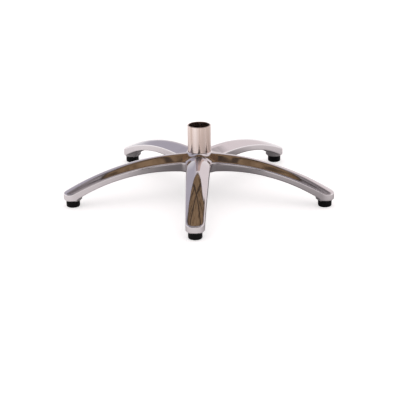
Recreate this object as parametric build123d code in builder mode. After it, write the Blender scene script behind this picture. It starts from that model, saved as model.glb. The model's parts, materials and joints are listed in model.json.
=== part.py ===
from build123d import *
import math
import os

# Spider base of a pedestal table: a five-armed polished casting with a steel column tube,
# one clamp bolt under the hub and a screwed glide under each arm. Millimetres, +Z up.
# The origin is on the floor, on the column's axis, and one arm points along -Y.

# Layout
arm_count = 5
first_arm_angle = -90
foot_circle_radius = 280.5

# Column tube, turned down at its foot for the socket and bored out there for the plug
column_radius = 25.0
column_wall = 2.5
column_top = 153.5
seat_turning = 0.5
seat_margin = 0.5
plug_seat_boring = 0.5
plug_seat_margin = 0.5
tube_edge_break = 0.5

# Hub of the casting: a socket for the tube, a floor for the bolt and a flared collar
hub_top = 96.0
hub_bottom = 56.0
hub_floor_top = 70.0
hub_floor_thickness = 8.0
hub_wall = 13.5
socket_clearance = 0.05
collar_land = 2.5
collar_sagitta = 3.5
collar_foot_height = 80.5
crotch_radius = 9.0

# Crown of an arm, seen from the side: level at the hub, then one long arc
crown_height = 93.5
crown_bend_start = 50.0
crown_arc_radius = 530.0

# Crown of an arm, seen from its end: a ridge, two flanks and two shoulders
hub_flank_angle = 28.0
tip_flank_angle = 11.0
hub_ridge_radius = 16.0
tip_ridge_radius = 74.0
shoulder_radius = 4.0

# Outline of an arm, seen from above, and the lean of its walls under the shoulders
tip_radius = 19.5
tip_side_inset = 0.1
side_taper_angle = 1.75
hub_wall_lean = 0.22
lean_reach = 165.0

# Lower edge of an arm, seen from the side: one arc, highest at its summit
lower_edge_height = 64.0
lower_edge_summit = 100.0
lower_edge_radius = 370.0

# Hollow underside of an arm
side_wall = 4.5
crown_wall = 5.0
hollow_corner_radius = 2.0
rib_thickness = 3.5
rib_recess = 7.0
cross_rib_spacing = 62.0
cross_rib_count = 3

# Foot boss at the end of an arm
boss_bottom = 15.0
boss_chamfer = 2.5
stem_hole_depth = 18.0

# Screwed glide
glide_radius = 14.5
glide_edge_radius = 3.5
stem_radius = 5.0
stem_head_radius = 8.0
stem_head_height = 3.5
stem_length = 16.0
stem_chamfer = 0.8
thread_clearance = 0.05

# Plug welded into the foot of the tube
plug_length = 10.0
plug_flange = 3.0
plug_clearance = 0.05

# Clamp bolt and its washers
bolt_radius = 6.0
bolt_chamfer = 1.0
bolt_clearance = 0.5
bolt_head_across_flats = 19.0
bolt_head_height = 7.5
bolt_reach = 11.0
washer_radius = 18.0
washer_thickness = 3.0
washer_room = 3.0
spring_washer_radius = 10.0
spring_washer_thickness = 2.5
spring_washer_gap = 1.5

# Modelling aids: sections along a loft, and how far cutting bodies overrun
section_count = 9
overrun = 5.0

# Values worked out from the driving dimensions
seat_radius = column_radius - seat_turning
seat_top = hub_top + seat_margin
socket_radius = seat_radius + socket_clearance
collar_radius = socket_radius + collar_land
hollow_start = socket_radius + hub_wall
column_inner_radius = column_radius - column_wall
tube_bottom = hub_floor_top + plug_flange
plug_seat_radius = column_inner_radius + plug_seat_boring
plug_seat_height = plug_length + plug_seat_margin
hub_floor_bottom = hub_floor_top - hub_floor_thickness
recess_radius = washer_radius + washer_room
washer_bottom = hub_floor_bottom - washer_thickness
spring_washer_bottom = washer_bottom - spring_washer_thickness
boss_chamfer_top = boss_bottom + boss_chamfer
arm_end = foot_circle_radius + tip_radius
arm_reach = arm_end + overrun
arm_step = 360 / arm_count
half_step = math.radians(arm_step / 2)
cut_height = 2 * column_top
cut_width = 2 * hollow_start


def arm_plane(distance):
    """Upright plane across an arm that runs along +X, seen from its end."""
    return Plane(origin=(distance, 0, 0), x_dir=(0, 1, 0), z_dir=(1, 0, 0))


def progress(distance):
    """Nought up to where the crown starts to bend, and one at the end of the arm."""
    share = (distance - crown_bend_start) / (arm_end - crown_bend_start)
    return max(0.0, share)


def crown_line(distance):
    """Height of the ridge at a distance from the column's axis."""
    beyond = max(0.0, distance - crown_bend_start)
    return crown_height - crown_arc_radius + math.sqrt(crown_arc_radius**2 - beyond**2)


def half_width(distance):
    """Half the arm's width at its shoulders, a little inside the round of the tip."""
    flare = math.tan(math.radians(side_taper_angle))
    return tip_radius - tip_side_inset + (foot_circle_radius - distance) * flare


def wall_lean(distance):
    """How far the side wall leans in for each millimetre down, less and less outwards."""
    return hub_wall_lean * max(0.0, 1 - distance / lean_reach)


def flank_slope(distance):
    """Slope of the flanks beside the ridge, in radians."""
    left = (1 - progress(distance)) ** 2
    return math.radians(tip_flank_angle + (hub_flank_angle - tip_flank_angle) * left)


def ridge_radius(distance):
    """Radius over the ridge."""
    return hub_ridge_radius + (tip_ridge_radius - hub_ridge_radius) * progress(distance)


def arm_section(distance, wall, cover, shoulder, bottom):
    """Closed section of the arm, or of its hollow, which lies inside a wall and a cover."""
    slope = flank_slope(distance)
    ridge = ridge_radius(distance) - cover
    side = half_width(distance) - wall
    peak = crown_line(distance) - cover + ridge * (1 / math.cos(slope) - 1)
    corner = peak - side * math.tan(slope)
    foot = side - wall_lean(distance) * (corner - bottom)
    with BuildSketch(arm_plane(distance)) as section:
        with BuildLine():
            crown = FilletPolyline(
                (-foot, bottom),
                (-side, corner),
                (0, peak),
                (side, corner),
                (foot, bottom),
                radius=[shoulder, ridge, shoulder],
            )
            Line(crown @ 1, crown @ 0)
        make_face()
    return section.sketch


def stations(start, end):
    """Evenly spaced distances along an arm."""
    return [start + (end - start) * i / (section_count - 1) for i in range(section_count)]


def below_edge(rise):
    """Face in the arm's upright middle plane, below its lower edge raised by a distance."""
    summit = lower_edge_height + rise
    hub_bend = math.asin(lower_edge_summit / lower_edge_radius)
    hub_z = summit - lower_edge_radius * (1 - math.cos(hub_bend))
    end_bend = math.asin((arm_end - lower_edge_summit) / lower_edge_radius)
    end_z = summit - lower_edge_radius * (1 - math.cos(end_bend))
    with BuildSketch(Plane.XZ) as profile:
        with BuildLine():
            Line((0, 0), (0, hub_z))
            ThreePointArc((0, hub_z), (lower_edge_summit, summit), (arm_end, end_z))
            Line((arm_end, end_z), (arm_end, 0))
            Line((arm_end, 0), (0, 0))
        make_face()
        with Locations((lower_edge_summit / 2, (hub_bottom + rise) / 2)):
            Rectangle(lower_edge_summit, hub_bottom + rise)
    return profile.sketch


# The share of the circle that belongs to one arm
with BuildPart() as sector:
    with BuildSketch():
        with BuildLine():
            Polyline(
                (0, 0),
                (arm_reach, -arm_reach * math.tan(half_step)),
                (arm_reach, arm_reach * math.tan(half_step)),
                close=True,
            )
        make_face()
    extrude(amount=cut_height)
    Cylinder(column_inner_radius, cut_height, mode=Mode.SUBTRACT)

# Room for an arm that ends in a half round over its foot
with BuildPart() as tip_trim:
    with BuildSketch():
        with Locations((foot_circle_radius / 2, 0)):
            Rectangle(foot_circle_radius, cut_width)
        with Locations((foot_circle_radius, 0)):
            Circle(tip_radius)
    extrude(amount=cut_height)

# Outer form of one arm along +X: crowned, tapered and round at its end
with BuildPart() as arm_form:
    for distance in stations(-overrun, arm_reach):
        add(arm_section(distance, 0, 0, shoulder_radius, boss_chamfer_top))
    loft()
    add(tip_trim.part, mode=Mode.INTERSECT)
    add(sector.part, mode=Mode.INTERSECT)

# What the arched lower edge leaves out, all but the foot boss
with BuildPart() as below_arm:
    extrude(below_edge(0), amount=cut_width, both=True)
    with Locations((foot_circle_radius, 0, 0)):
        Cylinder(tip_radius, cut_height, mode=Mode.SUBTRACT)

# Ribs: one along the arm and a few across it, set back from the lower edge
with BuildPart() as ribs:
    with BuildSketch():
        with Locations((arm_end / 2, 0)):
            Rectangle(arm_end, rib_thickness)
        for number in range(1, cross_rib_count + 1):
            with Locations((hollow_start + number * cross_rib_spacing, 0)):
                Rectangle(rib_thickness, cut_width)
    extrude(amount=cut_height)
    extrude(below_edge(rib_recess), amount=cut_width, both=True, mode=Mode.SUBTRACT)

# Hollow of the arm, between its walls and round its ribs and its boss
with BuildPart() as arm_hollow:
    for distance in stations(hollow_start, foot_circle_radius):
        add(arm_section(distance, side_wall, crown_wall, hollow_corner_radius, 0))
    loft()
    with Locations((foot_circle_radius, 0, 0)):
        Cylinder(tip_radius, cut_height, mode=Mode.SUBTRACT)
    add(ribs.part, mode=Mode.SUBTRACT)

# Lower end of the foot boss, chamfered all round
with BuildPart() as boss_foot:
    with BuildSketch(Plane.XY.offset(boss_bottom)):
        with Locations((foot_circle_radius, 0)):
            Circle(tip_radius)
    extrude(amount=boss_chamfer)
    chamfer(boss_foot.edges().group_by(Axis.Z)[0], boss_chamfer - tip_side_inset)

# Tapped hole for the glide's stem
with BuildPart() as stem_hole:
    with BuildSketch(Plane.XY.offset(boss_bottom)):
        with Locations((foot_circle_radius, 0)):
            Circle(stem_radius + thread_clearance)
    extrude(amount=stem_hole_depth)

# Hub body: a collar that flares from the tube to the crotches, which are scooped out
# between the arms by cones that lean as the arms' walls do
crotch_line = half_width(collar_radius)
crotch_distance = (crotch_line + crotch_radius) / math.sin(half_step)
collar_foot_radius = math.hypot(crotch_distance * math.cos(half_step), crotch_line)
crotch_lean = wall_lean(crotch_distance * math.cos(half_step))
with BuildPart() as hub:
    with BuildSketch(Plane.XZ):
        with BuildLine():
            Line((0, hub_bottom), (collar_foot_radius, hub_bottom))
            Line((collar_foot_radius, hub_bottom), (collar_foot_radius, collar_foot_height))
            SagittaArc(
                (collar_foot_radius, collar_foot_height),
                (collar_radius, hub_top),
                collar_sagitta,
            )
            Line((collar_radius, hub_top), (0, hub_top))
            Line((0, hub_top), (0, hub_bottom))
        make_face()
    revolve(axis=Axis.Z)
    crotch_places = PolarLocations(
        crotch_distance,
        arm_count,
        start_angle=first_arm_angle + arm_step / 2,
    )
    with crotch_places:
        Cone(
            crotch_radius + crotch_lean * collar_foot_height,
            crotch_radius - crotch_lean * (hub_top - collar_foot_height),
            hub_top,
            align=(Align.CENTER, Align.CENTER, Align.MIN),
            mode=Mode.SUBTRACT,
        )
    fillet(hub.edges().filter_by(GeomType.BSPLINE).group_by(Axis.Z)[-1], shoulder_radius)

# The casting: five arms and the hub, then the arches, hollows, bosses, socket and recess
arm_places = PolarLocations(0, arm_count, start_angle=first_arm_angle)
with BuildPart() as spider_casting:
    with arm_places:
        add(arm_form.part)
    add(hub.part)
    with arm_places:
        add(below_arm.part, mode=Mode.SUBTRACT)
    with arm_places:
        add(arm_hollow.part, mode=Mode.SUBTRACT)
    with arm_places:
        add(boss_foot.part)
    with arm_places:
        add(stem_hole.part, mode=Mode.SUBTRACT)
    with BuildSketch(Plane.XY.offset(hub_floor_top)):
        Circle(socket_radius)
    extrude(amount=cut_height, mode=Mode.SUBTRACT)
    with BuildSketch(Plane.XY.offset(hub_floor_bottom)):
        Circle(recess_radius)
    extrude(amount=-hub_floor_bottom, mode=Mode.SUBTRACT)
    with BuildSketch():
        Circle(bolt_radius + bolt_clearance)
    extrude(amount=cut_height, mode=Mode.SUBTRACT)

# Column tube, square cut, with its end edges just broken and a thin shadow ring over the hub
with BuildPart() as column_tube:
    with BuildSketch(Plane.XY.offset(tube_bottom)):
        Circle(seat_radius)
    extrude(amount=seat_top - tube_bottom)
    with BuildSketch(Plane.XY.offset(seat_top)):
        Circle(column_radius)
    extrude(amount=column_top - seat_top)
    with BuildSketch(Plane.XY.offset(tube_bottom)):
        Circle(column_inner_radius)
    extrude(amount=column_top - tube_bottom, mode=Mode.SUBTRACT)
    with BuildSketch(Plane.XY.offset(tube_bottom)):
        Circle(plug_seat_radius)
    extrude(amount=plug_seat_height, mode=Mode.SUBTRACT)
    chamfer(column_tube.edges().group_by(Axis.Z)[-1], tube_edge_break)
    chamfer(column_tube.edges().group_by(Axis.Z)[0], tube_edge_break)

# Plug in the foot of the tube: a flange under the tube's end and a body inside it
with BuildPart() as column_plug:
    with BuildSketch(Plane.XY.offset(hub_floor_top)):
        Circle(seat_radius)
    extrude(amount=plug_flange)
    with BuildSketch(Plane.XY.offset(tube_bottom)):
        Circle(plug_seat_radius - plug_clearance)
    extrude(amount=plug_length)
    with BuildSketch(Plane.XY.offset(hub_floor_top)):
        Circle(bolt_radius + thread_clearance)
    extrude(amount=plug_flange + plug_length, mode=Mode.SUBTRACT)

# Plain washer under the floor of the hub
with BuildPart() as clamp_washer:
    with BuildSketch(Plane.XY.offset(washer_bottom)):
        Circle(washer_radius)
        Circle(bolt_radius + bolt_clearance, mode=Mode.SUBTRACT)
    extrude(amount=washer_thickness)

# Split spring washer, pressed flat
with BuildPart() as spring_washer:
    with BuildSketch(Plane.XY.offset(spring_washer_bottom)):
        Circle(spring_washer_radius)
        Circle(bolt_radius + bolt_clearance, mode=Mode.SUBTRACT)
        with Locations((spring_washer_radius / 2, 0)):
            Rectangle(spring_washer_radius, spring_washer_gap, mode=Mode.SUBTRACT)
    extrude(amount=spring_washer_thickness)

# Hexagon bolt, screwed up into the plug
with BuildPart() as clamp_bolt:
    with BuildSketch(Plane.XY.offset(spring_washer_bottom)):
        RegularPolygon(bolt_head_across_flats / 2, 6, major_radius=False)
    extrude(amount=-bolt_head_height)
    with BuildSketch(Plane.XY.offset(spring_washer_bottom)):
        Circle(bolt_radius)
    extrude(amount=hub_floor_top + bolt_reach - spring_washer_bottom)
    chamfer(clamp_bolt.edges().group_by(Axis.Z)[-1], bolt_chamfer)


def foot_plane(number, height):
    """Level plane on the axis of one foot."""
    turn = math.radians(first_arm_angle + number * arm_step)
    place = (foot_circle_radius * math.cos(turn), foot_circle_radius * math.sin(turn), height)
    return Plane(origin=place)


def make_glide_pad(number):
    """Moulded pad with a rounded lower edge and a recess for the stem's head."""
    with BuildPart() as pad:
        with BuildSketch(foot_plane(number, 0)):
            Circle(glide_radius)
        extrude(amount=boss_bottom)
        fillet(pad.edges().group_by(Axis.Z)[0], glide_edge_radius)
        with BuildSketch(foot_plane(number, boss_bottom)):
            Circle(stem_head_radius + thread_clearance)
        extrude(amount=-stem_head_height, mode=Mode.SUBTRACT)
    return pad.part


def make_glide_stem(number):
    """Threaded stem with a flat round head, screwed into the foot boss."""
    with BuildPart() as stem:
        with BuildSketch(foot_plane(number, boss_bottom)):
            Circle(stem_head_radius)
        extrude(amount=-stem_head_height)
        with BuildSketch(foot_plane(number, boss_bottom)):
            Circle(stem_radius)
        extrude(amount=stem_length)
        chamfer(stem.edges().group_by(Axis.Z)[-1], stem_chamfer)
    return stem.part


pieces = {
    "spider_casting": spider_casting.part,
    "column_tube": column_tube.part,
    "column_plug": column_plug.part,
    "clamp_washer": clamp_washer.part,
    "spring_washer": spring_washer.part,
    "clamp_bolt": clamp_bolt.part,
}
for foot in range(arm_count):
    pieces[f"glide_pad_{foot + 1}"] = make_glide_pad(foot)
    pieces[f"glide_stem_{foot + 1}"] = make_glide_stem(foot)

os.makedirs("parts", exist_ok=True)
for piece_name, piece in pieces.items():
    piece.label = piece_name
    export_step(piece, f"parts/{piece_name}.step")
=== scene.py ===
import json
import math

import bmesh
import bpy
import numpy as np
from mathutils import Matrix, Vector


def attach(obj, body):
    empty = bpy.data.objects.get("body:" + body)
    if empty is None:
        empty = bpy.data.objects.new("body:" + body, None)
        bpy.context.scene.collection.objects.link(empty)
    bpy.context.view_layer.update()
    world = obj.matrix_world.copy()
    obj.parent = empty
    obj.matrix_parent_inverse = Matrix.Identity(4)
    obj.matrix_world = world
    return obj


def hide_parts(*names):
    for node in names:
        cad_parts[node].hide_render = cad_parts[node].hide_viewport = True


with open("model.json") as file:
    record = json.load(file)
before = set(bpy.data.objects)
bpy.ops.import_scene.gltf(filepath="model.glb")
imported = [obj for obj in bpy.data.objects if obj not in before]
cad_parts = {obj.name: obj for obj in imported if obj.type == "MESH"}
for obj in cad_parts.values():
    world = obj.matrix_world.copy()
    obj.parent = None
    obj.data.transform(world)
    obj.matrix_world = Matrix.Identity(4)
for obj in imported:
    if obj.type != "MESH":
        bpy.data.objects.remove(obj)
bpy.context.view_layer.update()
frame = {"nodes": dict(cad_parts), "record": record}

# Camera: on a circle round the column's axis, aimed at the origin on the floor
CAMERA_AZIMUTH = math.radians(2.1916)
CAMERA_ELEVATION = math.radians(18.9586)
CAMERA_ROLL = math.radians(0.834)
CAMERA_DISTANCE = 3.0939
CAMERA_LENS = 127.76
SENSOR_WIDTH = 36.0
FRAME_PIXELS = 400
ORIGIN_PIXEL_X = 200.02
ORIGIN_PIXEL_Y = 192.43

# Floor and studio, in metres
FLOOR_SIZE = 24.0
FLOOR_GLOW = 0.5
FLOOR_ROUGHNESS = 0.9
# Centre of the painted shade that glossy rays see on the floor, a little to the right of the column
SHADE_CENTRE = (0.09, 0, 0)
AMBIENT = 0.85

# Painted reflection: a glowing disc that only glossy rays see, drawn as a table top's underside with
# crossed bars, in metres
TOP_HEIGHT = 0.44
TOP_CENTRE = 0.04
TOP_RADIUS = 0.33
TOP_SIDES = 96
TOP_RIM_START = 0.29
TOP_RIM_END = 0.325
BAR_CROSSING = 0.05
BAR_WIDTH = 0.024
BAR_SLOPE = 1.0
BAR_STRENGTH = 0.85
STREAK_STRENGTH = 0.75

# Colours
WHITE = (1, 1, 1, 1)
BLACK = (0, 0, 0, 1)
ALUMINIUM_LIGHT = (0.87, 0.835, 0.85, 1)
ALUMINIUM_DARK = (0.82, 0.785, 0.80, 1)
CAST_DARK = (0.24, 0.23, 0.235, 1)
CAST_LIGHT = (0.50, 0.475, 0.48, 1)
# Warm tube colours: steel with drawn lines, and partly painted reflection
TUBE_LINES_AND_REFLECTION_LIGHT = (0.92, 0.81, 0.765, 1)
TUBE_LINES_AND_REFLECTION_DARK = (0.66, 0.525, 0.46, 1)
ZINC_DARK = (0.50, 0.51, 0.53, 1)
ZINC_LIGHT = (0.68, 0.68, 0.66, 1)
PLASTIC_DARK = (0.002, 0.002, 0.0022, 1)
PLASTIC_LIGHT = (0.005, 0.005, 0.0055, 1)
FLOOR_LIGHT = (0.80, 0.75, 0.755, 1)
# Painted shade of the floor near the base, seen only by glossy rays
FLOOR_PAINTED_SHADE = (0.30, 0.275, 0.28, 1)
# Colours of the painted reflection: a brown table top's underside with a dark rim, streaks and
# crossed bars
PAINTED_REFLECTION_WOOD_DARK = (0.14, 0.088, 0.05, 1)
PAINTED_REFLECTION_WOOD_LIGHT = (0.245, 0.162, 0.096, 1)
PAINTED_REFLECTION_WOOD_RIM = (0.045, 0.035, 0.03, 1)
PAINTED_REFLECTION_WOOD_STREAK = (0.05, 0.036, 0.026, 1)
PAINTED_REFLECTION_BAR_DARK = (0.03, 0.022, 0.02, 1)
PLASTIC_SHINE = 0.15
# Painted reflections in the world, seen only by glossy rays: tints at the sides, a ceiling and a
# dark strip
PAINTED_LEFT_REFLECTION = (0.43, 0.41, 0.47, 1)
PAINTED_RIGHT_REFLECTION = (0.77, 0.70, 0.71, 1)
PAINTED_NEAR_DARK_REFLECTION = (0.04, 0.033, 0.03, 1)
PAINTED_CEILING_REFLECTION_LIGHT = (0.33, 0.30, 0.31, 1)
PAINTED_CEILING_REFLECTION_DARK = (0.10, 0.088, 0.092, 1)

# How far patterns are drawn out along one axis: a small share makes long lines
TUBE_LINES = (1, 1, 0.04)
WOOD_LINES = (0.12, 1, 1)
CEILING_LINES = (0.15, 1, 1)

# Casting, in millimetres: hub, with its socket, its collar and the recess under it
ARM_COUNT = 5
FIRST_ARM_ANGLE = math.radians(-90)
FOOT_CIRCLE_RADIUS = 280.5
HUB_TOP = 96.0
HUB_BOTTOM = 56.0
SOCKET_RADIUS = 24.55
SOCKET_FLOOR = 70.0
RECESS_FLOOR = 62.0
RECESS_RADIUS = 21.0
BOLT_HOLE_RADIUS = 6.5
COLLAR_ARC_CENTRE = (45.0, 100.5)
COLLAR_ARC_RADIUS = 18.5
COLLAR_FALL = 20.0
CROTCH_RADIUS = 9.0

# Crown, shoulders and walls of an arm
CROWN_HEIGHT = 93.5
CROWN_BEND_START = 50.0
CROWN_ARC_RADIUS = 530.0
FLANK_ANGLE = math.radians(28)
HUB_RIDGE_RADIUS = 16.0
TIP_RIDGE_RADIUS = 36.0
SHOULDER_RADIUS = 4.0
TIP_RADIUS = 19.5
SIDE_TAPER = math.radians(1.75)
HUB_WALL_LEAN = 0.22
LEAN_REACH = 165.0
LEAN_START = 1.5
LOWER_EDGE_HEIGHT = 64.0
LOWER_EDGE_SUMMIT = 100.0
LOWER_EDGE_RADIUS = 370.0
LOWER_EDGE_ROUND = 1.0

# Hollow underside and foot boss of an arm
SIDE_WALL = 4.5
CROWN_WALL = 5.0
RIB_THICKNESS = 3.5
RIB_RECESS = 7.0
CROSS_RIB_SPACING = 62.0
CROSS_RIB_COUNT = 3
HOLLOW_START = 38.05
BOSS_START = 276.5
BOSS_BOTTOM = 15.0
BOSS_CHAMFER = 2.5
BOSS_CHAMFER_INSET = 2.4
STEM_HOLE_RADIUS = 5.05
STEM_HOLE_TOP = 33.0

# How softly the forms run into one another
VALLEY_BLEND = 7.0
COLLAR_BLEND = 2.5
COLLAR_EDGE_BLEND = 1.2

# Faces across half an arm, from its outline to its rib, and down its walls
SHOULDER_FACES = 6
FLANK_FACES = 11
WALL_FACES = 6
ROUND_FACES = 3
ROUND_FADE_ROWS = 4
SHOULDER_LAST_ANGLE = 0.25

# Rows of faces along an arm: their steps, in millimetres, and where the steps change
COLLAR_STEP = 0.8
COLLAR_END = 33.0
HUB_STEP = 1.3
ARM_ROW_STEP = 2.4
BOSS_APPROACH = 3.0
BOSS_APPROACH_STEP = 1.0
BOSS_STEP = 2.0
TURN_STEP = 0.1
STRAIGHT_FROM = 92.0
TIP_CORNER = math.pi / 4
CORNER_REACH = 1.6
CORNER_SPREAD = 1.4
SKEW_POWER = 4
CURVE_POINTS = 241
DEPTH_RISE = 1e-6

# Radii of the rings that divide the flat faces of the boss and of the hub
BOSS_RING_RADIUS = 11.0
SOCKET_RING_RADIUS = 15.0
RECESS_RING_RADIUS = 14.0

# Joining and shading of the finished mesh
MILLIMETRE = 0.001
MERGE_DISTANCE = 0.000008
SHARP_ANGLE = math.radians(38)

# Finishes of the casting's faces, and the levels of its underside
POLISHED = 0
AS_CAST = 1
RIM = 0
CEILING = 1
RIB = 2
BOSS_FOOT = 3

# Values worked out from the dimensions
ARM_END = FOOT_CIRCLE_RADIUS + TIP_RADIUS
ARM_STEP = 2 * math.pi / ARM_COUNT
HALF_STEP = ARM_STEP / 2
FLARE = math.tan(SIDE_TAPER)
DIAGONAL = np.array([math.cos(HALF_STEP), math.sin(HALF_STEP)])
CROTCH_RUN = TIP_RADIUS + FOOT_CIRCLE_RADIUS * FLARE + CROTCH_RADIUS / math.cos(SIDE_TAPER)
CROTCH_DISTANCE = CROTCH_RUN / (math.sin(HALF_STEP) + math.cos(HALF_STEP) * FLARE)
CROTCH_VERTEX = CROTCH_DISTANCE - CROTCH_RADIUS
CHAMFER_TOP = BOSS_BOTTOM + BOSS_CHAMFER
BOSS_OFFSET = FOOT_CIRCLE_RADIUS - BOSS_START
FOOT = np.array([FOOT_CIRCLE_RADIUS, 0.0])


def smooth_max(a, b, reach):
    """The larger of two heights, rounded over where they lie within a reach of one another."""
    near = np.maximum(0, reach - np.abs(a - b)) / reach
    return np.maximum(a, b) + near**2 * reach / 4


def progress(d):
    """Nought up to where the crown starts to bend, and one at the end of the arm."""
    return np.maximum(0, (d - CROWN_BEND_START) / (ARM_END - CROWN_BEND_START))


def half_width(d):
    """Half the arm's width at a distance from the column's axis."""
    return TIP_RADIUS + (FOOT_CIRCLE_RADIUS - d) * FLARE


def ridge_radius(d):
    """Radius over the ridge, larger towards the tip."""
    return HUB_RIDGE_RADIUS + (TIP_RIDGE_RADIUS - HUB_RIDGE_RADIUS) * progress(d)


def edge_slope(d):
    """Slope of the crown beside its shoulder: the flank's, or less where the ridge's round goes
    all the way out."""
    reach = np.clip((half_width(d) - SHOULDER_RADIUS / 2) / ridge_radius(d), 0, 1)
    return np.minimum(FLANK_ANGLE, np.arcsin(reach))


def crown(d, s):
    """Ridge and flanks of one arm, at a distance along it and a distance beside its axis."""
    beyond = np.maximum(0, d - CROWN_BEND_START)
    line = CROWN_HEIGHT - CROWN_ARC_RADIUS + np.sqrt(CROWN_ARC_RADIUS**2 - beyond**2)
    ridge = ridge_radius(d)
    tangent = ridge * math.sin(FLANK_ANGLE)
    inner = np.minimum(np.abs(s), tangent)
    rounding = ridge - np.sqrt(ridge**2 - inner**2)
    return line - rounding - np.maximum(0, np.abs(s) - tangent) * math.tan(FLANK_ANGLE)


def collar(r):
    """Flared collar of the hub, with its flat land round the tube."""
    centre_r, centre_z = COLLAR_ARC_CENTRE
    aside = np.clip(centre_r - r, 0, COLLAR_ARC_RADIUS)
    arc = centre_z - np.sqrt(COLLAR_ARC_RADIUS**2 - aside**2)
    arc = arc - np.maximum(0, r - centre_r) ** 2 / COLLAR_FALL
    return -smooth_max(-arc, np.full_like(arc, -HUB_TOP), COLLAR_EDGE_BLEND)


def top_height(d, s):
    """Arm, its two neighbours and the collar, run into one another."""
    result = crown(d, s)
    for turn in (-ARM_STEP, ARM_STEP):
        other_d = d * math.cos(turn) + s * math.sin(turn)
        other_s = s * math.cos(turn) - d * math.sin(turn)
        result = smooth_max(result, crown(other_d, other_s), VALLEY_BLEND)
    return smooth_max(result, collar(np.hypot(d, s)), COLLAR_BLEND)


def inside_distance(d, s):
    """Distance inside the outline of the sector that belongs to one arm."""
    s = np.abs(s)
    to_d = d - CROTCH_DISTANCE * DIAGONAL[0]
    to_s = s - CROTCH_DISTANCE * DIAGONAL[1]
    before_edge = to_d * math.cos(SIDE_TAPER) - to_s * math.sin(SIDE_TAPER) < 0
    by_crotch = np.hypot(to_d, to_s) - CROTCH_RADIUS
    by_edge = (half_width(d) - s) * math.cos(SIDE_TAPER)
    by_tip = TIP_RADIUS - np.hypot(d - FOOT_CIRCLE_RADIUS, s)
    return np.where(before_edge, by_crotch, np.where(d > FOOT_CIRCLE_RADIUS, by_tip, by_edge))


def shoulder_drop(w, d):
    """How far the rounded shoulder lies under the flank it is tangent to."""
    slope = edge_slope(d)
    inside = np.clip(w, 0, SHOULDER_RADIUS * (1 - np.sin(slope)))
    fall = np.sqrt(SHOULDER_RADIUS**2 - (SHOULDER_RADIUS - inside) ** 2)
    return (inside - SHOULDER_RADIUS) * np.tan(slope) + SHOULDER_RADIUS / np.cos(slope) - fall


def lower_edge(d):
    """Arched lower edge of an arm, level under the hub."""
    beyond = d - LOWER_EDGE_SUMMIT
    arc = LOWER_EDGE_HEIGHT - LOWER_EDGE_RADIUS + np.sqrt(LOWER_EDGE_RADIUS**2 - beyond**2)
    return np.where(beyond < 0, np.maximum(HUB_BOTTOM, arc), arc)


def rim_height(d, s):
    """Underside of the hub and the walls: each arm's arch is cut through its neighbours' roots."""
    result = lower_edge(d)
    for turn in (-ARM_STEP, ARM_STEP):
        other = d * math.cos(turn) + s * math.sin(turn)
        arch = lower_edge(np.clip(other, 0, LOWER_EDGE_SUMMIT))
        result = np.where((other > 0) & (d < LOWER_EDGE_SUMMIT), np.maximum(result, arch), result)
    return result


def shoulder_steps():
    """Distances inside the outline, from nought, that divide the shoulder's round evenly."""
    angles = np.linspace(math.pi / 2, SHOULDER_LAST_ANGLE, SHOULDER_FACES)
    return list(SHOULDER_RADIUS * (1 - np.sin(angles)))


def evenly(start, end, step):
    """Values after the start, up to the end, in equal steps of about the size asked for."""
    count = max(1, round((end - start) / step))
    return list(np.linspace(start, end, count + 1)[1:])


class Outline:
    """Rows of faces of one arm: each row's end on the outline, the outward direction there, and
    the numbers of the rows where something starts or stops."""

    def __init__(self):
        self.ends = []
        self.outward = []
        self.add_hub_rows()
        self.add_crotch_rows()
        self.add_arm_rows()
        self.add_tip_rows()
        self.ends = np.array(self.ends)
        self.outward = np.array(self.outward)

    def add(self, end, outward):
        self.ends.append(np.array(end))
        self.outward.append(np.array(outward))

    def newest(self):
        return len(self.ends) - 1

    def add_hub_rows(self):
        """Along the line between two arms, from the recess out to the crotch."""
        steps = shoulder_steps()
        radii = [RECESS_RADIUS, SOCKET_RADIUS]
        radii += evenly(SOCKET_RADIUS, COLLAR_END, COLLAR_STEP)
        radii += evenly(COLLAR_END, HOLLOW_START, HUB_STEP)
        self.hollow = len(radii) - 1
        radii += evenly(HOLLOW_START, CROTCH_VERTEX - SIDE_WALL, HUB_STEP)
        radii += [CROTCH_VERTEX - step for step in reversed(steps)]
        for radius in radii:
            self.add(radius * DIAGONAL, DIAGONAL)
        self.vertex = self.newest()

    def add_crotch_rows(self):
        """Round the crotch, until the wall runs straight."""
        for angle in evenly(math.pi + HALF_STEP, 1.5 * math.pi - SIDE_TAPER, TURN_STEP):
            out = np.array([math.cos(angle), math.sin(angle)])
            self.add(CROTCH_DISTANCE * DIAGONAL + CROTCH_RADIUS * out, -out)
        self.edge = self.newest()

    def add_arm_rows(self):
        """Along the straight wall, with two rows of faces on each cross rib."""
        self.ribs = []
        for number in range(1, CROSS_RIB_COUNT + 1):
            middle = HOLLOW_START + number * CROSS_RIB_SPACING
            self.add_wall(middle - RIB_THICKNESS / 2, ARM_ROW_STEP)
            self.ribs.append(self.newest())
            self.add_wall(middle + RIB_THICKNESS / 2, RIB_THICKNESS / 2)
        self.last_rib = self.newest()
        self.add_wall(BOSS_START - BOSS_APPROACH, ARM_ROW_STEP)
        self.add_wall(BOSS_START, BOSS_APPROACH_STEP)
        self.boss = self.newest()
        self.add_wall(FOOT_CIRCLE_RADIUS, BOSS_STEP)

    def add_wall(self, d, step):
        for place in evenly(self.ends[-1][0], d, step):
            self.add((place, half_width(place)), (math.sin(SIDE_TAPER), math.cos(SIDE_TAPER)))

    def add_tip_rows(self):
        """Round the tip to its corner, where the last row starts."""
        shares = [step / TIP_RADIUS for step in reversed(shoulder_steps())]
        angles = evenly(SIDE_TAPER, TIP_CORNER - CORNER_REACH * shares[0], TURN_STEP)
        angles += [TIP_CORNER - CORNER_SPREAD * share for share in shares]
        for angle in angles:
            out = np.array([math.sin(angle), math.cos(angle)])
            self.add(FOOT + TIP_RADIUS * out, out)
        self.last = self.newest()


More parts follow.
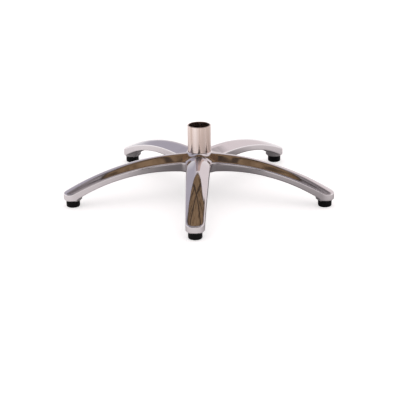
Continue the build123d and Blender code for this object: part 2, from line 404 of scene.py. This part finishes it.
def row_curve(end, share):
    """A fine line from the arm's axis to a row's end: round the column, or straight across."""
    t = np.linspace(0, 1, CURVE_POINTS)
    angle = math.atan2(end[1], end[0])
    arc = math.hypot(*end) * np.stack([np.cos(t * angle), np.sin(t * angle)], 1)
    straight = np.stack([np.full_like(t, end[0]), t * end[1]], 1)
    return share * arc + (1 - share) * straight


def roundness(d):
    """One where the rows run round the column, and nought where they are straight."""
    start = CROTCH_VERTEX * DIAGONAL[0]
    t = np.clip((d - start) / (STRAIGHT_FROM - start), 0, 1)
    return 1 - t * t * (3 - 2 * t)


def column_offsets(outline):
    """How far each column of faces lies from a row's end, measured across the arm."""
    steps = np.array(shoulder_steps() + [SIDE_WALL])
    table = np.tile(steps / math.cos(SIDE_TAPER), (outline.last + 1, 1))
    for row in range(outline.vertex, outline.edge + 1):
        end = outline.ends[row]
        inwards = row_curve(end, roundness(end[0]))[::-1]
        depth = np.maximum.accumulate(inside_distance(*inwards.T))
        depth += np.linspace(0, DEPTH_RISE, len(depth))
        table[row] = np.interp(steps, depth - depth[0], end[1] - inwards[:, 1])
    first, last = outline.ends[outline.hollow][0], outline.ends[outline.vertex][0]
    for row in range(outline.hollow, outline.vertex):
        share = (outline.ends[row][0] - first) / (last - first)
        table[row] = (1 - share) * table[0] + share * table[outline.vertex]
    return table


def half_row(outline, row, end, offsets):
    """Corners of half a row, from the outline in to the arm's axis."""
    outer = end[1] - offsets
    inner = np.linspace(outer[-1], RIB_THICKNESS / 2, FLANK_FACES + 1)[1:]
    sides = np.concatenate([outer, inner, [0.0]])
    if row <= outline.last_rib:
        curve = row_curve(end, roundness(outline.ends[row][0]))
        return np.stack([np.interp(sides, curve[:, 1], curve[:, 0]), sides], 1)
    share = (row - outline.last_rib) / (outline.boss - outline.last_rib)
    corner = math.hypot(BOSS_OFFSET, end[1])
    reach = TIP_RADIUS + (corner - TIP_RADIUS) * (sides / end[1]) ** SKEW_POWER
    bulge = np.sqrt(reach**2 - sides**2) - BOSS_OFFSET
    return np.stack([end[0] - share**2 * bulge, sides], 1)


def tip_rows(first, ends):
    """Rows beyond the boss's first one, spanned between it, the two sides and the tip's round."""
    across = (first[:, 1] / first[-1, 1] + 1) / 2
    angles = (2 * across - 1) * TIP_CORNER
    tip = FOOT + TIP_RADIUS * np.stack([np.cos(angles), np.sin(angles)], 1)
    steps = np.linalg.norm(np.diff(ends, axis=0), axis=1)
    a = across[:, None]
    rows = []
    for v, right in zip(np.cumsum(steps) / steps.sum(), ends[1:]):
        left = right * (1, -1)
        lines = (1 - v) * first + v * tip + (1 - a) * left + a * right
        start = (1 - a) * first[0] + a * first[-1]
        finish = (1 - a) * tip[0] + a * tip[-1]
        rows.append(lines - (1 - v) * start - v * finish)
    return rows


def plan(outline, offsets, lean=0.0):
    """Where every corner of the faces lies, seen from above, with the outline moved in by a lean."""
    ends = outline.ends - np.reshape(lean, (-1, 1)) * outline.outward
    rows = []
    for row in range(outline.boss + 1):
        half = half_row(outline, row, ends[row], offsets[row])
        rows.append(np.concatenate([half * (1, -1), half[-2::-1]]))
    rows += tip_rows(rows[outline.boss], ends[outline.boss:])
    return np.array(rows)


def with_height(grid, height):
    """Corners of a plan with their heights."""
    return np.concatenate([grid, np.broadcast_to(height, grid.shape[:-1])[..., None]], -1)


class Sector:
    """One arm and its share of the hub: corners, faces, and each face's finish."""

    def __init__(self):
        self.points = []
        self.faces = []
        self.finish = []
        self.outline = Outline()
        self.offsets = column_offsets(self.outline)
        self.top_plan = plan(self.outline, self.offsets)
        self.columns = self.top_plan.shape[1] - 1
        self.height = self.crown_heights()
        self.top_ids = self.place(with_height(self.top_plan, self.height))
        self.quads(self.top_ids[1:], POLISHED)
        self.set_lean()
        self.wall = self.wall_corners()
        self.add_walls()
        skirt_ids = self.add_skirt()
        self.rim, ceiling, rib = self.underside_corners()
        foot_ids = self.add_underside(ceiling, rib)
        self.add_boss(skirt_ids, foot_ids)
        self.add_hub()

    def place(self, points):
        """Keeps corners and gives their numbers, in the same arrangement."""
        points = np.asarray(points)
        first = len(self.points)
        self.points += [tuple(point) for point in points.reshape(-1, 3)]
        return np.arange(first, len(self.points)).reshape(points.shape[:-1])

    def face(self, corners, finish):
        self.faces.append(tuple(int(corner) for corner in corners))
        self.finish.append(finish)

    def quads(self, grid, finish):
        """Faces between every two neighbouring rows of corners."""
        for a, b in zip(grid[:-1], grid[1:]):
            for j in range(len(a) - 1):
                self.face((a[j], a[j + 1], b[j + 1], b[j]), finish)

    def crown_heights(self):
        """Heights of the top's corners, rounded off at the shoulders."""
        d, s = self.top_plan[..., 0], self.top_plan[..., 1]
        depth = np.maximum(0, inside_distance(d, s))
        depth[self.outline.vertex:, 0] = 0
        depth[:, -1] = depth[:, 0]
        depth[self.outline.last] = 0
        return top_height(d, s) - shoulder_drop(depth, d)

    def set_lean(self):
        """How fast each row's end leans in, and the heights between which its wall stands."""
        outline = self.outline
        hub = slice(outline.vertex)
        share = (np.hypot(*outline.ends.T) - RECESS_RADIUS) / (CROTCH_VERTEX - RECESS_RADIUS)
        self.lean_rate = HUB_WALL_LEAN * np.maximum(0, 1 - outline.ends[:, 0] / LEAN_REACH)
        self.lean_rate[hub] = self.lean_rate[outline.vertex] * np.clip(share[hub], 0, 1) ** 2
        self.edge_height = self.height[:, -1]
        self.root_height = self.edge_height.copy()
        self.root_height[hub] = self.edge_height[outline.vertex]
        self.rim_end = rim_height(*outline.ends.T)

    def lean_at(self, z):
        """How far the rows' ends have leaned in at a height."""
        below = np.maximum(0, self.root_height - z)
        return self.lean_rate * (np.hypot(below, LEAN_START) - LEAN_START)

    def wall_level(self, z, lean):
        """The rows' ends at a height, moved in by a lean."""
        return with_height(self.outline.ends - lean[:, None] * self.outline.outward, z)

    def wall_corners(self):
        """Corners of the wall, from the shoulder down to its rounded lower edge."""
        rows = np.arange(self.outline.last + 1)
        rounding = LOWER_EDGE_ROUND * np.clip((self.outline.boss - rows) / ROUND_FADE_ROWS, 0, 1)
        fall = self.rim_end + rounding - self.edge_height
        levels = []
        for step in range(WALL_FACES + 1):
            z = self.edge_height + fall * step / WALL_FACES
            levels.append(self.wall_level(z, self.lean_at(z)))
        for step in range(1, ROUND_FACES + 1):
            angle = step / ROUND_FACES * math.pi / 2
            z = self.rim_end + rounding * (1 - math.sin(angle))
            lean = self.lean_at(self.rim_end) + rounding * (1 - math.cos(angle))
            levels.append(self.wall_level(z, lean))
        return np.stack(levels, 1)

    def add_walls(self):
        """The wall's faces on both sides of the arm, from the crotch to the boss."""
        rows = slice(self.outline.vertex, self.outline.boss + 1)
        for side, mirror in ((self.columns, 1), (0, -1)):
            ids = self.place(self.wall[rows] * (1, mirror, 1))
            ids[:, 0] = self.top_ids[rows, side]
            self.quads(ids, POLISHED)

    def add_skirt(self):
        """Wall round the tip as one strip: right side, last row, left side."""
        outline = self.outline
        rows = range(outline.boss, outline.last + 1)
        path = [(row, self.columns) for row in rows]
        path += [(outline.last, column) for column in range(self.columns - 1, 0, -1)]
        path += [(row, 0) for row in reversed(rows)]
        at = tuple(np.array(path).T)
        edge, height = self.top_plan[at], self.height[at]
        strip = [self.top_ids[at]]
        for step in range(1, WALL_FACES + 1):
            z = height + (self.rim_end[outline.boss] - height) * step / WALL_FACES
            strip.append(self.place(with_height(edge, z)))
        strip.append(self.place(with_height(edge, CHAMFER_TOP)))
        self.quads(np.array(strip), POLISHED)
        return strip[-1]

    def underside_corners(self):
        """Corners of the rim, of the hollow's ceiling and of the ribs, three levels of one plan."""
        levels = []
        for z in (self.rim_end, self.root_height - CROWN_WALL, self.rim_end + RIB_RECESS):
            levels.append(plan(self.outline, self.offsets, self.lean_at(z)))
        rim, ceiling, rib = levels
        rim = with_height(rim, rim_height(rim[..., 0], rim[..., 1]))
        ceiling = with_height(ceiling, crown(ceiling[..., 0], ceiling[..., 1]) - CROWN_WALL)
        rib = with_height(rib, lower_edge(rib[..., 0]) + RIB_RECESS)
        rows = slice(self.outline.vertex, self.outline.boss + 1)
        rim[rows, -1] = self.wall[rows, -1]
        rim[rows, 0] = self.wall[rows, -1] * (1, -1, 1)
        return rim, ceiling, rib

    def level_map(self):
        """The level on which each face of the underside lies."""
        outline = self.outline
        inner = slice(SHOULDER_FACES, self.columns - SHOULDER_FACES)
        middle = self.columns // 2
        level = np.full((outline.boss, self.columns), RIM)
        level[outline.hollow:, inner] = CEILING
        level[outline.hollow:, middle - 1:middle + 1] = RIB
        for row in outline.ribs:
            level[row:row + 2, inner] = RIB
        return level

    def add_underside(self, ceiling, rib):
        """Level faces, the upright faces between two levels, and the boss's inner wall."""
        boss, columns = self.outline.boss, self.columns
        level = self.level_map()
        ids = [self.place(corners[:boss + 1]) for corners in (self.rim, ceiling, rib)]
        for row in range(boss):
            for j in range(columns):
                at = ids[level[row, j]]
                corners = (at[row, j], at[row, j + 1], at[row + 1, j + 1], at[row + 1, j])
                self.face(corners, AS_CAST)
        for row in range(boss):
            for j in range(1, columns):
                self.add_riser(ids, level[row, j - 1], level[row, j], (row, j), (row + 1, j))
        for row in range(1, boss):
            for j in range(columns):
                self.add_riser(ids, level[row - 1, j], level[row, j], (row, j), (row, j + 1))
        foot_ids = self.place(with_height(self.top_plan[boss], CHAMFER_TOP))
        for j in range(columns):
            at = ids[level[boss - 1, j]]
            corners = (at[boss, j], at[boss, j + 1], foot_ids[j + 1], foot_ids[j])
            self.face(corners, AS_CAST)
        self.close_corners(ids, level, foot_ids)
        return foot_ids

    def add_riser(self, ids, a, b, start, end):
        """Upright face between two levels, along the line between two corners of the plan."""
        if a != b:
            self.face((ids[a][start], ids[a][end], ids[b][end], ids[b][start]), AS_CAST)

    def close_corners(self, ids, level, foot_ids):
        """Where three levels meet in one corner, a narrow face closes it."""
        level = np.concatenate([level, np.full((1, self.columns), BOSS_FOOT)])
        for row in range(1, self.outline.boss + 1):
            for j in range(1, self.columns):
                near = sorted(set(level[row - 1:row + 1, j - 1:j + 1].flat))
                if len(near) == 3:
                    at = [foot_ids[j] if n == BOSS_FOOT else ids[n][row, j] for n in near]
                    self.face(at, AS_CAST)

    def add_boss(self, skirt_ids, foot_ids):
        """Chamfer, bottom and tapped hole of the boss, as rings round the foot's axis."""
        edge_ids = list(skirt_ids) + list(foot_ids[1:-1])
        outwards = np.array([self.points[i] for i in edge_ids])[:, :2] - FOOT
        distance = np.linalg.norm(outwards, axis=1)[:, None]
        outwards = outwards / distance
        rings = [np.array(edge_ids)]
        for radius, z in (
            (distance - BOSS_CHAMFER_INSET, BOSS_BOTTOM),
            (BOSS_RING_RADIUS, BOSS_BOTTOM),
            (STEM_HOLE_RADIUS, BOSS_BOTTOM),
            (STEM_HOLE_RADIUS, STEM_HOLE_TOP),
        ):
            rings.append(self.place(with_height(FOOT + outwards * radius, z)))
        rings = [np.append(ring, ring[0]) for ring in rings]
        outer = len(skirt_ids)
        self.quads(np.array([ring[:outer] for ring in rings[:2]]), POLISHED)
        self.quads(np.array([ring[outer - 1:] for ring in rings[:2]]), AS_CAST)
        self.quads(np.array(rings[1:]), AS_CAST)
        centre = self.place([[*FOOT, STEM_HOLE_TOP]])[0]
        for a, b in zip(rings[-1][:-1], rings[-1][1:]):
            self.face((a, b, centre), AS_CAST)

    def add_hub(self):
        """Socket of the tube, bolt hole and washer recess."""
        socket, recess = self.top_plan[1], self.rim[0, :, :2]
        unit = socket / SOCKET_RADIUS
        rings = [
            with_height(socket, self.height[1]),
            with_height(socket, SOCKET_FLOOR),
            with_height(unit * SOCKET_RING_RADIUS, SOCKET_FLOOR),
            with_height(unit * BOLT_HOLE_RADIUS, SOCKET_FLOOR),
            with_height(unit * BOLT_HOLE_RADIUS, RECESS_FLOOR),
            with_height(unit * RECESS_RING_RADIUS, RECESS_FLOOR),
            with_height(recess, RECESS_FLOOR),
            with_height(recess, self.rim[0, :, 2]),
        ]
        self.quads(self.place(np.array(rings)), AS_CAST)


def five_arms(sector):
    """Corners and faces of the sector, turned to each arm's place in metres."""
    points = np.array(sector.points) * MILLIMETRE
    corners, faces = [], []
    for arm in range(ARM_COUNT):
        turn = FIRST_ARM_ANGLE + arm * ARM_STEP
        c, s = math.cos(turn), math.sin(turn)
        corners.append(points @ np.array([[c, s, 0], [-s, c, 0], [0, 0, 1]]))
        faces += [[i + arm * len(points) for i in face] for face in sector.faces]
    return np.concatenate(corners).tolist(), faces


def close_seams(mesh):
    """Joins corners that meet, drops those without a face and turns every face outwards."""
    shell = bmesh.new()
    shell.from_mesh(mesh)
    bmesh.ops.remove_doubles(shell, verts=shell.verts, dist=MERGE_DISTANCE)
    unused = [corner for corner in shell.verts if not corner.link_faces]
    bmesh.ops.delete(shell, geom=unused, context="VERTS")
    bmesh.ops.recalc_face_normals(shell, faces=shell.faces)
    shell.to_mesh(mesh)
    shell.free()


def spider_piece(finishes):
    """The casting as one closed, smoothly shaded mesh."""
    sector = Sector()
    corners, faces = five_arms(sector)
    mesh = bpy.data.meshes.new("spider_form")
    mesh.from_pydata(corners, [], faces)
    mesh.polygons.foreach_set("material_index", sector.finish * ARM_COUNT)
    close_seams(mesh)
    mesh.shade_smooth()
    mesh.set_sharp_from_angle(angle=SHARP_ANGLE)
    for finish in finishes:
        mesh.materials.append(finish)
    piece = bpy.data.objects.new("spider_form", mesh)
    bpy.context.scene.collection.objects.link(piece)
    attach(piece, "root")
    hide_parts("spider_casting")


def add_camera():
    """Viewpoint a little above the arms, with its framing and a small roll."""
    data = bpy.data.cameras.new("camera")
    data.sensor_width = SENSOR_WIDTH
    data.lens = CAMERA_LENS
    data.shift_x = 0.5 - ORIGIN_PIXEL_X / FRAME_PIXELS
    data.shift_y = ORIGIN_PIXEL_Y / FRAME_PIXELS - 0.5
    camera = bpy.data.objects.new("camera", data)
    bpy.context.scene.collection.objects.link(camera)
    back = Vector((
        math.sin(CAMERA_AZIMUTH) * math.cos(CAMERA_ELEVATION),
        -math.cos(CAMERA_AZIMUTH) * math.cos(CAMERA_ELEVATION),
        math.sin(CAMERA_ELEVATION),
    ))
    camera.location = back * CAMERA_DISTANCE
    turn = (-back).to_track_quat("-Z", "Y").to_matrix() @ Matrix.Rotation(-CAMERA_ROLL, 3, "Z")
    camera.rotation_mode = "QUATERNION"
    camera.rotation_quaternion = turn.to_quaternion()
    bpy.context.scene.camera = camera


class Tree:
    """Short calls for a node tree. A source is a value, or an output that is linked."""

    def __init__(self, owner):
        owner.use_nodes = True
        self.nodes = owner.node_tree.nodes
        self.link = owner.node_tree.links.new

    def feed(self, socket, source):
        if isinstance(source, bpy.types.NodeSocket):
            self.link(source, socket)
        else:
            socket.default_value = source

    def node(self, kind, sources=None, **settings):
        """A node with its settings and its sources."""
        made = self.nodes.new(kind)
        for name, value in settings.items():
            setattr(made, name, value)
        for name, source in (sources or {}).items():
            self.feed(made.inputs[name], source)
        return made

    def noise(self, vector, scale, detail=4.0, roughness=0.5):
        """Noise whose features are about one over the scale, in metres."""
        sources = {"Vector": vector, "Scale": scale, "Detail": detail, "Roughness": roughness}
        return self.node("ShaderNodeTexNoise", sources).outputs["Fac"]

    def ramp(self, value, low, high, start=0.0, end=1.0):
        """A value carried smoothly from one span to another."""
        spans = {"From Min": low, "From Max": high, "To Min": start, "To Max": end}
        sources = {"Value": value, **spans}
        made = self.node("ShaderNodeMapRange", sources, interpolation_type="SMOOTHSTEP")
        return made.outputs["Result"]

    def math(self, operation, first, second=0.0):
        return self.node("ShaderNodeMath", {0: first, 1: second}, operation=operation).outputs[0]

    def times(self, first, second):
        return self.math("MULTIPLY", first, second)

    def minus(self, first, second):
        return self.math("SUBTRACT", first, second)

    def larger(self, first, second):
        return self.math("MAXIMUM", first, second)

    def absolute(self, value):
        return self.math("ABSOLUTE", value)

    def axes(self, vector):
        return self.node("ShaderNodeSeparateXYZ", {0: vector}).outputs

    def stretched(self, vector, scale):
        """Coordinates shrunk along some axes, so that a pattern grows longer there."""
        return self.node("ShaderNodeMapping", {"Vector": vector, "Scale": scale}).outputs[0]

    def distance(self, vector, centre):
        """Distance of a place from a centre."""
        aside = {0: vector, 1: centre}
        made = self.node("ShaderNodeVectorMath", aside, operation="SUBTRACT").outputs[0]
        return self.node("ShaderNodeVectorMath", {0: made}, operation="LENGTH").outputs["Value"]

    def mix(self, share, first, second):
        """A colour between two."""
        made = self.nodes.new("ShaderNodeMix")
        made.data_type = "RGBA"
        for name, source in {"Factor": share, "A": first, "B": second}.items():
            self.feed(next(i for i in made.inputs if i.name == name and i.enabled), source)
        return next(o for o in made.outputs if o.enabled)

    def bump(self, height, distance, strength=1.0, normal=None):
        """A normal tilted by a height pattern, over another normal if there is one."""
        sources = {"Height": height, "Distance": distance, "Strength": strength}
        if normal is not None:
            sources["Normal"] = normal
        return self.node("ShaderNodeBump", sources).outputs["Normal"]


def new_material(name):
    """A material, its tree, its shader and the object's coordinates in metres."""
    material = bpy.data.materials.new(name)
    tree = Tree(material)
    place = tree.node("ShaderNodeTexCoord").outputs["Object"]
    return material, tree, tree.nodes["Principled BSDF"], place


def set_finish(tree, shader, colour, roughness, normal, metallic=1.0):
    """What a surface shows: its colour, its gloss, its relief and how metallic it is."""
    tree.link(colour, shader.inputs["Base Color"])
    tree.link(roughness, shader.inputs["Roughness"])
    tree.link(normal, shader.inputs["Normal"])
    shader.inputs["Metallic"].default_value = metallic


def polished_aluminium():
    """Hand-polished casting: slight waves, faint buffing haze."""
    material, tree, shader, place = new_material("polished_aluminium")
    patches = tree.noise(place, scale=30, detail=3)
    colour = tree.mix(patches, ALUMINIUM_LIGHT, ALUMINIUM_DARK)
    haze = tree.noise(place, scale=140, detail=5, roughness=0.6)
    roughness = tree.ramp(haze, low=0.3, high=0.75, start=0.05, end=0.11)
    waves = tree.bump(tree.noise(place, scale=22, detail=1), distance=0.0004)
    buffing = tree.noise(place, scale=900, detail=3)
    normal = tree.bump(buffing, distance=0.00001, normal=waves)
    set_finish(tree, shader, colour, roughness, normal)
    return material


def as_cast_aluminium():
    """Unpolished skin of the casting, grey and finely pitted."""
    material, tree, shader, place = new_material("as_cast_aluminium")
    patches = tree.noise(place, scale=60, detail=6, roughness=0.6)
    colour = tree.mix(patches, CAST_DARK, CAST_LIGHT)
    roughness = tree.ramp(patches, low=0.3, high=0.7, start=0.55, end=0.72)
    grain = tree.noise(place, scale=1200, detail=4, roughness=0.6)
    normal = tree.bump(grain, distance=0.00015, strength=0.8)
    set_finish(tree, shader, colour, roughness, normal, metallic=0.6)
    return material


def column_steel():
    """Polished steel tube with fine lines drawn along it, and warm colour bands along it that are
    partly drawn lines, partly painted reflection.
    """
    material, tree, shader, place = new_material("column_steel")
    along = tree.stretched(place, TUBE_LINES)
    # Colour bands along the tube: drawn lines in the steel, and partly painted reflection of a warm,
    # banded room
    bands = tree.ramp(tree.noise(along, scale=90, detail=3), low=0.35, high=0.65)
    colour = tree.mix(bands, TUBE_LINES_AND_REFLECTION_LIGHT, TUBE_LINES_AND_REFLECTION_DARK)
    lines = tree.noise(along, scale=1500, detail=3)
    roughness = tree.ramp(lines, low=0.3, high=0.7, start=0.14, end=0.24)
    normal = tree.bump(lines, distance=0.00002, strength=0.6)
    set_finish(tree, shader, colour, roughness, normal)
    return material


def plain_steel():
    """Zinc-plated fasteners, dull and slightly mottled."""
    material, tree, shader, place = new_material("plain_steel")
    mottle = tree.noise(place, scale=400, detail=5, roughness=0.6)
    colour = tree.mix(mottle, ZINC_DARK, ZINC_LIGHT)
    roughness = tree.ramp(mottle, low=0.3, high=0.7, start=0.28, end=0.42)
    normal = tree.bump(mottle, distance=0.00003, strength=0.5)
    set_finish(tree, shader, colour, roughness, normal)
    return material


def glide_plastic():
    """Moulded black plastic with a fine satin grain."""
    material, tree, shader, place = new_material("glide_plastic")
    patches = tree.noise(place, scale=120, detail=3)
    colour = tree.mix(patches, PLASTIC_DARK, PLASTIC_LIGHT)
    roughness = tree.ramp(patches, low=0.3, high=0.7, start=0.42, end=0.52)
    grain = tree.noise(place, scale=1800, detail=3)
    normal = tree.bump(grain, distance=0.00006, strength=0.6)
    set_finish(tree, shader, colour, roughness, normal, metallic=0.0)
    shader.inputs["Specular IOR Level"].default_value = PLASTIC_SHINE
    return material


def dress_nodes():
    """Gives every node its finish, and the casting its own mesh."""
    polished, as_cast = polished_aluminium(), as_cast_aluminium()
    finishes = {
        "cast_aluminium": polished,
        "column_steel": column_steel(),
        "plain_steel": plain_steel(),
        "glide_plastic": glide_plastic(),
    }
    for part in frame["record"]["subparts"]:
        node = frame["nodes"][part["node"]]
        node.data.materials.clear()
        node.data.materials.append(finishes[part["material_slot"]])
    spider_piece([polished, as_cast])


def flat_piece(name, corners):
    """A flat face with a material of its own."""
    mesh = bpy.data.meshes.new(name)
    mesh.from_pydata(corners, [], [list(range(len(corners)))])
    piece = bpy.data.objects.new(name, mesh)
    bpy.context.scene.collection.objects.link(piece)
    material, tree, shader, place = new_material(name)
    mesh.materials.append(material)
    return piece, tree, shader, place


def add_floor():
    """White floor that keeps the object's shadow. The polish sees painted shade on it near the base:
    a darker colour and less glow there.
    """
    half = FLOOR_SIZE / 2
    corners = [(-half, -half, 0), (half, -half, 0), (half, half, 0), (-half, half, 0)]
    floor, tree, shader, place = flat_piece("floor", corners)
    shader.inputs["Roughness"].default_value = FLOOR_ROUGHNESS
    ray = tree.node("ShaderNodeLightPath").outputs
    away = tree.distance(place, SHADE_CENTRE)
    # Painted shade: glossy rays see the floor darker within about 0.36 m of the shade's centre
    shade = tree.ramp(away, low=0.14, high=0.36, start=1, end=0)
    shade = tree.times(ray["Is Glossy Ray"], shade)
    tree.link(tree.mix(shade, FLOOR_LIGHT, FLOOR_PAINTED_SHADE), shader.inputs["Base Color"])
    mirrored = tree.larger(ray["Is Glossy Ray"], ray["Is Transmission Ray"])
    # Painted shade too: glossy rays see no glow on the floor near the base, and full glow far out
    mirrored = tree.times(mirrored, tree.ramp(away, low=0.26, high=0.9))
    shown = tree.larger(ray["Is Camera Ray"], mirrored)
    tree.link(tree.times(shown, FLOOR_GLOW), shader.inputs["Emission Strength"])
    shader.inputs["Emission Color"].default_value = WHITE


def dark_bar(tree, x, y, slope):
    """One along a dark bar of the painted reflection, crossing the table top's underside; nought
    beside it.
    """
    length = math.hypot(1, slope)
    aside = tree.times(tree.minus(y, BAR_CROSSING), 1 / length)
    aside = tree.minus(aside, tree.times(x, slope / length))
    return tree.ramp(tree.absolute(aside), low=BAR_WIDTH / 2, high=BAR_WIDTH, start=1, end=0)


def painted_reflection_colour(tree, place):
    """Colour of the painted reflection: mottled brown with a dark rim, dark streaks beside its
    middle and two crossed bars.
    """
    axes = tree.axes(place)
    grain = tree.noise(place, scale=26, detail=5, roughness=0.6)
    colour = tree.mix(tree.ramp(grain, low=0.36, high=0.6), PAINTED_REFLECTION_WOOD_DARK, PAINTED_REFLECTION_WOOD_LIGHT)
    radius = tree.distance(place, (0, TOP_CENTRE, TOP_HEIGHT))
    rim = tree.ramp(radius, low=TOP_RIM_START, high=TOP_RIM_END)
    colour = tree.mix(rim, colour, PAINTED_REFLECTION_WOOD_RIM)
    streaks = tree.noise(tree.stretched(place, WOOD_LINES), scale=24, detail=2)
    streaks = tree.ramp(streaks, low=0.5, high=0.58)
    streaks = tree.times(streaks, tree.ramp(tree.absolute(axes["X"]), low=0.06, high=0.13))
    colour = tree.mix(tree.times(streaks, STREAK_STRENGTH), colour, PAINTED_REFLECTION_WOOD_STREAK)
    bars = [dark_bar(tree, axes["X"], axes["Y"], slope) for slope in (BAR_SLOPE, -BAR_SLOPE)]
    return tree.mix(tree.times(tree.larger(*bars), BAR_STRENGTH), colour, PAINTED_REFLECTION_BAR_DARK)


def add_painted_reflection_disc():
    """Painted reflection for the polished crowns: a glowing disc, drawn as the brown underside of a
    table top with its crossed bars. Only glossy rays see it."""
    turns = [2 * math.pi * side / TOP_SIDES for side in range(TOP_SIDES)]
    corners = [(math.cos(a) * TOP_RADIUS, math.sin(a) * TOP_RADIUS, TOP_HEIGHT) for a in turns]
    corners = [(x, y + TOP_CENTRE, z) for x, y, z in corners]
    top, tree, shader, place = flat_piece("painted_reflection_disc", corners)
    tree.link(painted_reflection_colour(tree, place), shader.inputs["Emission Color"])
    # The disc glows though it is no lamp: painted reflection
    shader.inputs["Emission Strength"].default_value = 1.0
    shader.inputs["Base Color"].default_value = BLACK
    shader.inputs["Specular IOR Level"].default_value = 0.0
    for kind in ("visible_camera", "visible_diffuse", "visible_transmission", "visible_shadow"):
        setattr(top, kind, False)


def painted_studio_reflection(tree, direction):
    """Painted reflections that only glossy rays see: lavender at the left, pinkish at the right,
    white at the horizon, a streaked grey ceiling and a dark strip at the viewpoint's side."""
    axes = tree.axes(direction)
    sides = tree.mix(tree.ramp(axes["X"], low=-0.35, high=0.15), PAINTED_LEFT_REFLECTION, PAINTED_RIGHT_REFLECTION)
    colour = tree.mix(tree.ramp(axes["Z"], low=0.0, high=0.3), WHITE, sides)
    bands = tree.noise(tree.stretched(direction, CEILING_LINES), scale=14, detail=2)
    ceiling = tree.mix(tree.ramp(bands, low=0.42, high=0.6), PAINTED_CEILING_REFLECTION_LIGHT, PAINTED_CEILING_REFLECTION_DARK)
    colour = tree.mix(tree.ramp(axes["Z"], low=0.58, high=0.72), colour, ceiling)
    # Painted dark reflection: a dark strip low down at the viewpoint's side
    bottom = tree.ramp(axes["Z"], low=-0.02, high=0.06)
    top = tree.ramp(axes["Z"], low=0.34, high=0.44, start=1, end=0)
    near = tree.ramp(axes["Y"], low=-0.45, high=-0.1, start=1, end=0)
    strip = tree.times(near, tree.times(bottom, top))
    return tree.mix(strip, colour, PAINTED_NEAR_DARK_REFLECTION)


def add_light():
    """A white studio all round that lights at a plain level; polished metal sees painted reflections
    in tints instead.
    """
    world = bpy.data.worlds.new("studio")
    bpy.context.scene.world = world
    tree = Tree(world)
    background = tree.nodes["Background"]
    direction = tree.node("ShaderNodeTexCoord").outputs["Generated"]
    ray = tree.node("ShaderNodeLightPath").outputs
    ambient = (AMBIENT, AMBIENT, AMBIENT, 1)
    # Glossy rays see the painted reflections, other rays the plain ambient
    colour = tree.mix(ray["Is Glossy Ray"], ambient, painted_studio_reflection(tree, direction))
    colour = tree.mix(ray["Is Camera Ray"], colour, WHITE)
    tree.link(colour, background.inputs["Color"])
    background.inputs["Strength"].default_value = 1.0


add_camera()
dress_nodes()
add_floor()
add_painted_reflection_disc()
add_light()
bpy.context.scene.view_settings.view_transform = "Standard"
